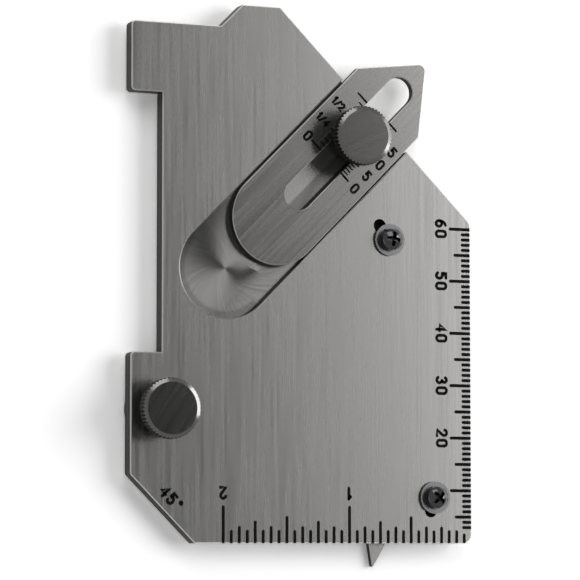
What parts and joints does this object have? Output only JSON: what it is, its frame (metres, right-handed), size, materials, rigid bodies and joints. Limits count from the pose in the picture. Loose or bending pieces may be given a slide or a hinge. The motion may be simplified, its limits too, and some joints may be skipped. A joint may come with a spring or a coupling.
{
  "type": "weld gauge",
  "caption": "Flat steel weld gauge: bridging feet, ruler edges, 45 degree throat slider, pointer cam on the back and knurled clamp screws.",
  "frame": {"origin": "on the cam's pivot axis, at the flat underside of the pivot bush, in the plane that the gauge lies on", "axes": "+X from the bridging feet towards the millimetre ruler edge, +Y from the base edge towards the crown, +Z out of the front face"},
  "size_m": [0.069, 0.105, 0.0101],
  "materials": {
    "plate_steel": "straight brushed",
    "slider_steel": "straight brushed",
    "cam_steel": "straight brushed",
    "knob_steel": "turned and knurled",
    "bush_steel": "turned",
    "screw_steel": "bright"
  },
  "bodies": {
    "gauge": {"body_plate": "plate_steel", "arc_strip": "cam_steel", "slider_bush": "bush_steel", "upper_arc_screw": "screw_steel", "lower_arc_screw": "screw_steel", "upper_flat_washer": "screw_steel", "lower_flat_washer": "screw_steel", "upper_lock_washer": "screw_steel", "lower_lock_washer": "screw_steel"},
    "slider": {"throat_slider": "slider_steel"},
    "slider_knob": {"slider_thumb_screw": "knob_steel"},
    "cam": {"cam_arm": "cam_steel", "cam_bush": "bush_steel"},
    "cam_knob": {"cam_thumb_screw": "knob_steel"}
  },
  "joints": [
    {"name": "slider_travel", "type": "slide", "parent": "gauge", "child": "slider", "axis": [0.7071, 0.7071, 0], "range_m": [-0.0135, 0.0158]},
    {"name": "slider_clamp", "type": "hinge", "parent": "gauge", "child": "slider_knob", "pos_m": [0.03836, 0.0519, 0.0044], "axis": [0, 0, 1], "range_deg": [0, 270]},
    {"name": "cam_pivot", "type": "hinge", "parent": "gauge", "child": "cam", "pos_m": [0, 0, 0.0012], "axis": [0, 0, 1], "range_deg": [-74, 6]},
    {"name": "cam_clamp", "type": "hinge", "parent": "cam", "child": "cam_knob", "pos_m": [0, 0, 0.0044], "axis": [0, 0, 1], "range_deg": [0, 270]}
  ]
}
